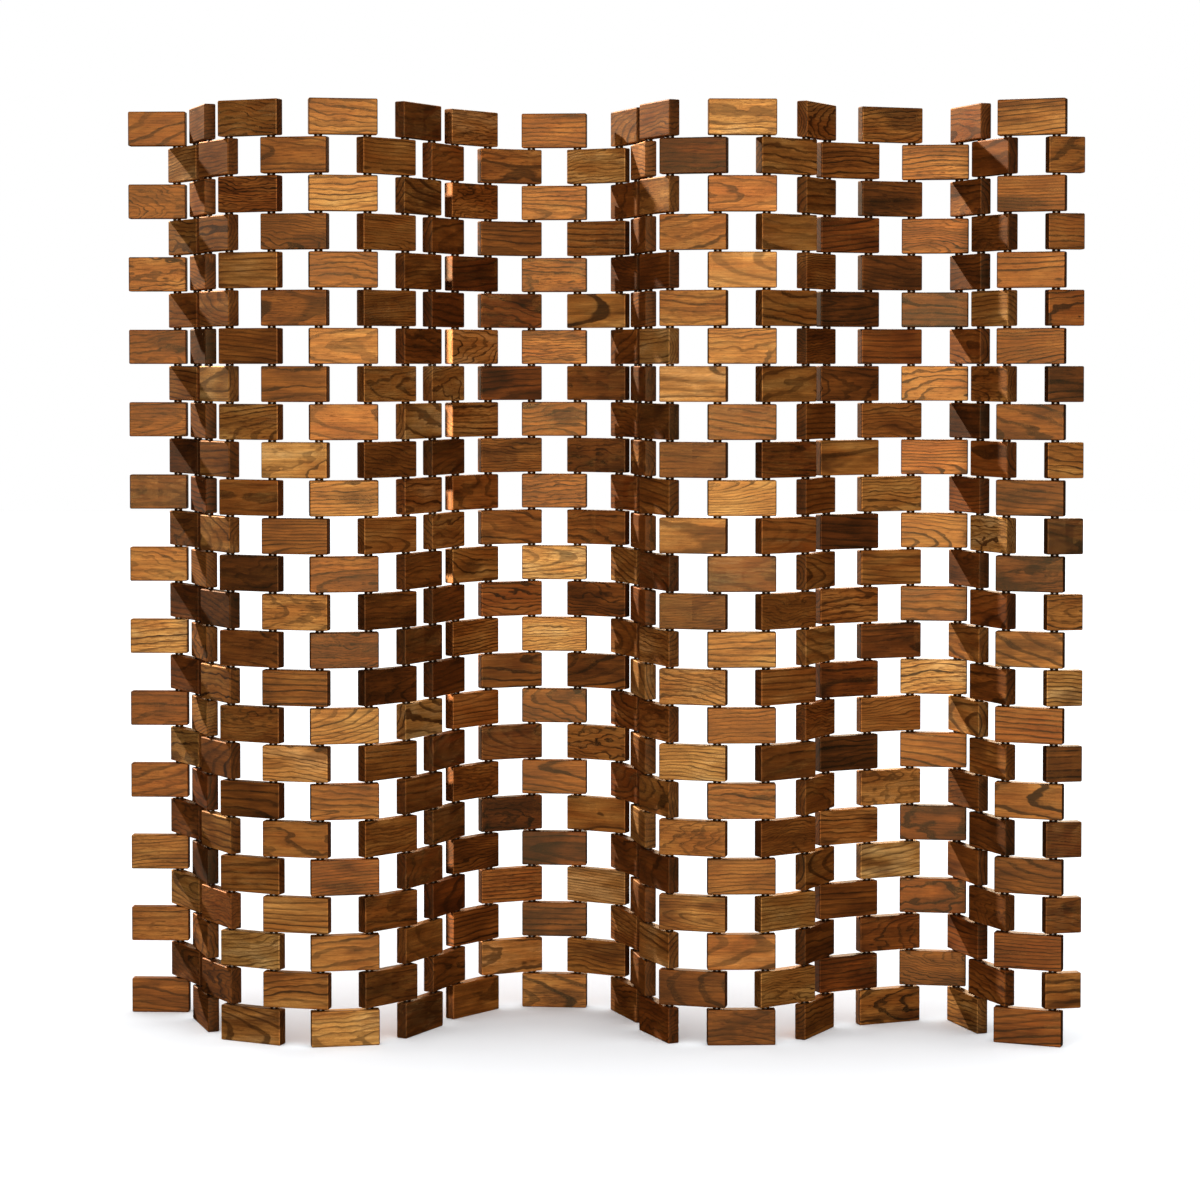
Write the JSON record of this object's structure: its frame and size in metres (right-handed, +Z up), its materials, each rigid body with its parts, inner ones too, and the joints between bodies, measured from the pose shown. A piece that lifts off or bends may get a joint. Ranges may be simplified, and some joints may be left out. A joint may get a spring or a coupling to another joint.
{
  "type": "folding screen",
  "caption": "Free-standing folding screen of brick-bonded wooden blocks threaded on upright steel rods, each rod a hinge between two neighbouring columns.",
  "frame": {"origin": "on the floor, under the middle of the bounding box of the screen as it stands folded in waves", "axes": "+X along the screen from its first column to its last, +Y to its back (the pictured side faces -Y), +Z up along the rods"},
  "size_m": [1.8758, 0.3844, 1.821],
  "materials": {
    "oiled_wood": "oiled, satin",
    "rod_steel": "darkened, polished"
  },
  "bodies": {
    "column_01": {"foot_column_01": "oiled_wood", "hinge_rod_01": "rod_steel"},
    "column_02": {"hung_column_01": "oiled_wood"},
    "column_03": {"foot_column_02": "oiled_wood", "hinge_rod_02": "rod_steel", "hinge_rod_03": "rod_steel"},
    "column_04": {"hung_column_02": "oiled_wood"},
    "column_05": {"foot_column_03": "oiled_wood", "hinge_rod_04": "rod_steel", "hinge_rod_05": "rod_steel"},
    "column_06": {"hung_column_03": "oiled_wood"},
    "column_07": {"foot_column_04": "oiled_wood", "hinge_rod_06": "rod_steel", "hinge_rod_07": "rod_steel"},
    "column_08": {"hung_column_04": "oiled_wood"},
    "column_09": {"foot_column_05": "oiled_wood", "hinge_rod_08": "rod_steel", "hinge_rod_09": "rod_steel"},
    "column_10": {"hung_column_05": "oiled_wood"},
    "column_11": {"foot_column_06": "oiled_wood", "hinge_rod_10": "rod_steel", "hinge_rod_11": "rod_steel"},
    "column_12": {"hung_column_06": "oiled_wood"},
    "column_13": {"foot_column_07": "oiled_wood", "hinge_rod_12": "rod_steel", "hinge_rod_13": "rod_steel"},
    "column_14": {"hung_column_07": "oiled_wood"},
    "column_15": {"foot_column_08": "oiled_wood", "hinge_rod_14": "rod_steel", "hinge_rod_15": "rod_steel"},
    "column_16": {"hung_column_08": "oiled_wood"},
    "column_17": {"foot_column_09": "oiled_wood", "hinge_rod_16": "rod_steel", "hinge_rod_17": "rod_steel"},
    "column_18": {"hung_column_09": "oiled_wood"},
    "column_19": {"foot_column_10": "oiled_wood", "hinge_rod_18": "rod_steel", "hinge_rod_19": "rod_steel"},
    "column_20": {"hung_column_10": "oiled_wood"},
    "column_21": {"foot_column_11": "oiled_wood", "hinge_rod_20": "rod_steel", "hinge_rod_21": "rod_steel"},
    "column_22": {"hung_column_11": "oiled_wood"},
    "column_23": {"foot_column_12": "oiled_wood", "hinge_rod_22": "rod_steel", "hinge_rod_23": "rod_steel"},
    "column_24": {"hung_column_12": "oiled_wood"},
    "column_25": {"foot_column_13": "oiled_wood", "hinge_rod_24": "rod_steel", "hinge_rod_25": "rod_steel"},
    "column_26": {"hung_column_13": "oiled_wood"},
    "column_27": {"foot_column_14": "oiled_wood", "hinge_rod_26": "rod_steel", "hinge_rod_27": "rod_steel"},
    "column_28": {"hung_column_14": "oiled_wood"}
  },
  "joints": [
    {"name": "hinge_14", "type": "hinge", "parent": "column_15", "child": "column_14", "pos_m": [0.04979, 0.12575, 0.9105], "axis": [0, 0, 1], "range_deg": [-150, 95]},
    {"name": "hinge_13", "type": "hinge", "parent": "column_14", "child": "column_13", "pos_m": [-0.0347, 0.16695, 0.9105], "axis": [0, 0, -1], "range_deg": [-75, 150]},
    {"name": "hinge_12", "type": "hinge", "parent": "column_13", "child": "column_12", "pos_m": [-0.12834, 0.17515, 0.9105], "axis": [0, 0, 1], "range_deg": [-150, 70]},
    {"name": "hinge_11", "type": "hinge", "parent": "column_12", "child": "column_11", "pos_m": [-0.2155, 0.13993, 0.9105], "axis": [0, 0, -1], "range_deg": [-85, 150]},
    {"name": "hinge_10", "type": "hinge", "parent": "column_11", "child": "column_10", "pos_m": [-0.2784, 0.07008, 0.9105], "axis": [0, 0, 1], "range_deg": [-150, 115]},
    {"name": "hinge_09", "type": "hinge", "parent": "column_10", "child": "column_09", "pos_m": [-0.3196, -0.01441, 0.9105], "axis": [0, 0, -1], "range_deg": [-140, 135]},
    {"name": "hinge_08", "type": "hinge", "parent": "column_09", "child": "column_08", "pos_m": [-0.3666, -0.09582, 0.9105], "axis": [0, 0, 1], "range_deg": [-110, 150]},
    {"name": "hinge_07", "type": "hinge", "parent": "column_08", "child": "column_07", "pos_m": [-0.43422, -0.16111, 0.9105], "axis": [0, 0, -1], "range_deg": [-150, 85]},
    {"name": "hinge_06", "type": "hinge", "parent": "column_07", "child": "column_06", "pos_m": [-0.52679, -0.17744, 0.9105], "axis": [0, 0, 1], "range_deg": [-80, 150]},
    {"name": "hinge_05", "type": "hinge", "parent": "column_06", "child": "column_05", "pos_m": [-0.61874, -0.15789, 0.9105], "axis": [0, 0, -1], "range_deg": [-150, 85]},
    {"name": "hinge_04", "type": "hinge", "parent": "column_05", "child": "column_04", "pos_m": [-0.70461, -0.11966, 0.9105], "axis": [0, 0, 1], "range_deg": [-105, 150]},
    {"name": "hinge_03", "type": "hinge", "parent": "column_04", "child": "column_03", "pos_m": [-0.75581, -0.04083, 0.9105], "axis": [0, 0, -1], "range_deg": [-150, 125]},
    {"name": "hinge_02", "type": "hinge", "parent": "column_03", "child": "column_02", "pos_m": [-0.78949, 0.04693, 0.9105], "axis": [0, 0, 1], "range_deg": [-150, 125]},
    {"name": "hinge_01", "type": "hinge", "parent": "column_02", "child": "column_01", "pos_m": [-0.84069, 0.12577, 0.9105], "axis": [0, 0, -1], "range_deg": [-85, 150]},
    {"name": "hinge_15", "type": "hinge", "parent": "column_15", "child": "column_16", "pos_m": [0.08652, 0.03922, 0.9105], "axis": [0, 0, 1], "range_deg": [-125, 150]},
    {"name": "hinge_16", "type": "hinge", "parent": "column_16", "child": "column_17", "pos_m": [0.10606, -0.05273, 0.9105], "axis": [0, 0, -1], "range_deg": [-120, 150]},
    {"name": "hinge_17", "type": "hinge", "parent": "column_17", "child": "column_18", "pos_m": [0.14578, -0.13792, 0.9105], "axis": [0, 0, 1], "range_deg": [-150, 80]},
    {"name": "hinge_18", "type": "hinge", "parent": "column_18", "child": "column_19", "pos_m": [0.23658, -0.16225, 0.9105], "axis": [0, 0, -1], "range_deg": [-80, 150]},
    {"name": "hinge_19", "type": "hinge", "parent": "column_19", "child": "column_20", "pos_m": [0.33052, -0.15897, 0.9105], "axis": [0, 0, 1], "range_deg": [-150, 90]},
    {"name": "hinge_20", "type": "hinge", "parent": "column_20", "child": "column_21", "pos_m": [0.40936, -0.10777, 0.9105], "axis": [0, 0, -1], "range_deg": [-110, 150]},
    {"name": "hinge_21", "type": "hinge", "parent": "column_21", "child": "column_22", "pos_m": [0.45636, -0.02637, 0.9105], "axis": [0, 0, 1], "range_deg": [-105, 150]},
    {"name": "hinge_22", "type": "hinge", "parent": "column_22", "child": "column_23", "pos_m": [0.54155, 0.01336, 0.9105], "axis": [0, 0, -1], "range_deg": [-145, 95]},
    {"name": "hinge_23", "type": "hinge", "parent": "column_23", "child": "column_24", "pos_m": [0.62988, 0.04551, 0.9105], "axis": [0, 0, 1], "range_deg": [-85, 150]},
    {"name": "hinge_24", "type": "hinge", "parent": "column_24", "child": "column_25", "pos_m": [0.72297, 0.03243, 0.9105], "axis": [0, 0, -1], "range_deg": [-150, 75]},
    {"name": "hinge_25", "type": "hinge", "parent": "column_25", "child": "column_26", "pos_m": [0.75512, -0.0559, 0.9105], "axis": [0, 0, 1], "range_deg": [-145, 135]},
    {"name": "hinge_26", "type": "hinge", "parent": "column_26", "child": "column_27", "pos_m": [0.79485, -0.1411, 0.9105], "axis": [0, 0, -1], "range_deg": [-95, 150]},
    {"name": "hinge_27", "type": "hinge", "parent": "column_27", "child": "column_28", "pos_m": [0.88318, -0.17325, 0.9105], "axis": [0, 0, 1], "range_deg": [-150, 105]}
  ]
}
